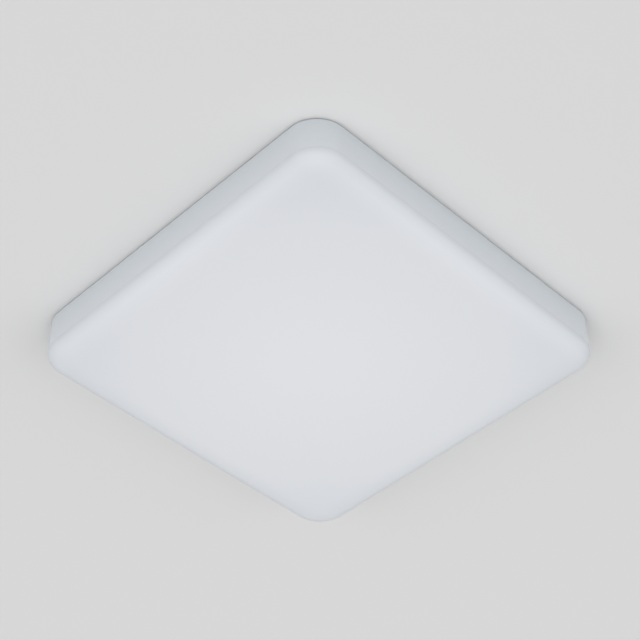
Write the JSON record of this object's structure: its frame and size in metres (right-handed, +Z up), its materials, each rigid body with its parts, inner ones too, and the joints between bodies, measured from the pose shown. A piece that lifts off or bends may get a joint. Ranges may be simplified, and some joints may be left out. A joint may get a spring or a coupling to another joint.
{
  "type": "square downlight",
  "caption": "Square frameless ceiling downlight: an opal diffuser with soft edges on a back pan with a driver box and two sliding spring clips.",
  "frame": {"origin": "centre of the ceiling plane, which the housing rim touches", "axes": "+Z up into the ceiling void, the lit face looks along -Z; +X along the line of the two spring clips"},
  "size_m": [0.22, 0.22, 0.0562],
  "materials": {
    "opal": "satin opal",
    "housing": "fine spark-eroded texture",
    "aluminium_sheet": "mill",
    "led_board": "white solder mask",
    "led_chip": "silicone",
    "reflector": "matt film",
    "screw": "zinc plated",
    "connector": "matt",
    "wire": "smooth",
    "terminal": "satin",
    "brass": "plated",
    "circuit": "solder mask",
    "ferrite": "sintered",
    "winding": "taped",
    "capacitor": "sleeved",
    "film": "epoxy",
    "fuse_sleeve": "matt",
    "chip_black": "moulded",
    "carriage": "moulded nylon",
    "spring": "bright spring steel",
    "pad": "soft"
  },
  "bodies": {
    "lamp": {"diffuser": "opal", "back_pan": "housing", "heat_spreader": "aluminium_sheet", "led_board": "led_board", "led_chips": "led_chip", "reflector_sheet": "reflector", "board_screws": "screw", "board_connector": "connector", "output_wires": "wire", "driver_case": "housing", "case_screws": "screw", "driver_lid": "housing", "lid_screws": "screw", "cover_hinge_pin": "screw", "terminal_block": "terminal", "terminal_screws": "brass", "cable_clamp": "housing", "clamp_screws": "screw", "driver_board": "circuit", "driver_board_screws": "screw", "transformer_core": "ferrite", "transformer_winding": "winding", "electrolytic_capacitors": "capacitor", "film_capacitor": "film", "filter_choke": "ferrite", "fuse": "fuse_sleeve", "board_chips": "chip_black", "input_connector": "connector", "output_connector": "connector", "input_wires": "wire"},
    "cover": {"terminal_cover": "housing"},
    "carriage_right": {"clip_carriage_right": "carriage", "clip_pin_right": "screw", "clip_spring_right": "spring"},
    "arm_right": {"clip_arm_right": "spring", "arm_pad_right": "pad"},
    "carriage_left": {"clip_carriage_left": "carriage", "clip_pin_left": "screw", "clip_spring_left": "spring"},
    "arm_left": {"clip_arm_left": "spring", "arm_pad_left": "pad"}
  },
  "joints": [
    {"name": "terminal_cover_hinge", "type": "hinge", "parent": "lamp", "child": "cover", "pos_m": [0, -0.0129, 0.0262], "axis": [-1, 0, 0], "range_deg": [0, 100]},
    {"name": "clip_slide_right", "type": "slide", "parent": "lamp", "child": "carriage_right", "axis": [1, 0, 0], "range_m": [-0.0233, 0.0233]},
    {"name": "clip_hinge_right", "type": "hinge", "parent": "carriage_right", "child": "arm_right", "pos_m": [0.0685, 0, 0.013], "axis": [0, -1, 0], "range_deg": [0, 100], "stiffness_Nm_per_rad": 0.24, "deforming": ["clip_spring_right"]},
    {"name": "clip_slide_left", "type": "slide", "parent": "lamp", "child": "carriage_left", "axis": [-1, 0, 0], "range_m": [-0.0233, 0.0233]},
    {"name": "clip_hinge_left", "type": "hinge", "parent": "carriage_left", "child": "arm_left", "pos_m": [-0.0685, 0, 0.013], "axis": [0, 1, 0], "range_deg": [0, 100], "stiffness_Nm_per_rad": 0.24, "deforming": ["clip_spring_left"]}
  ]
}
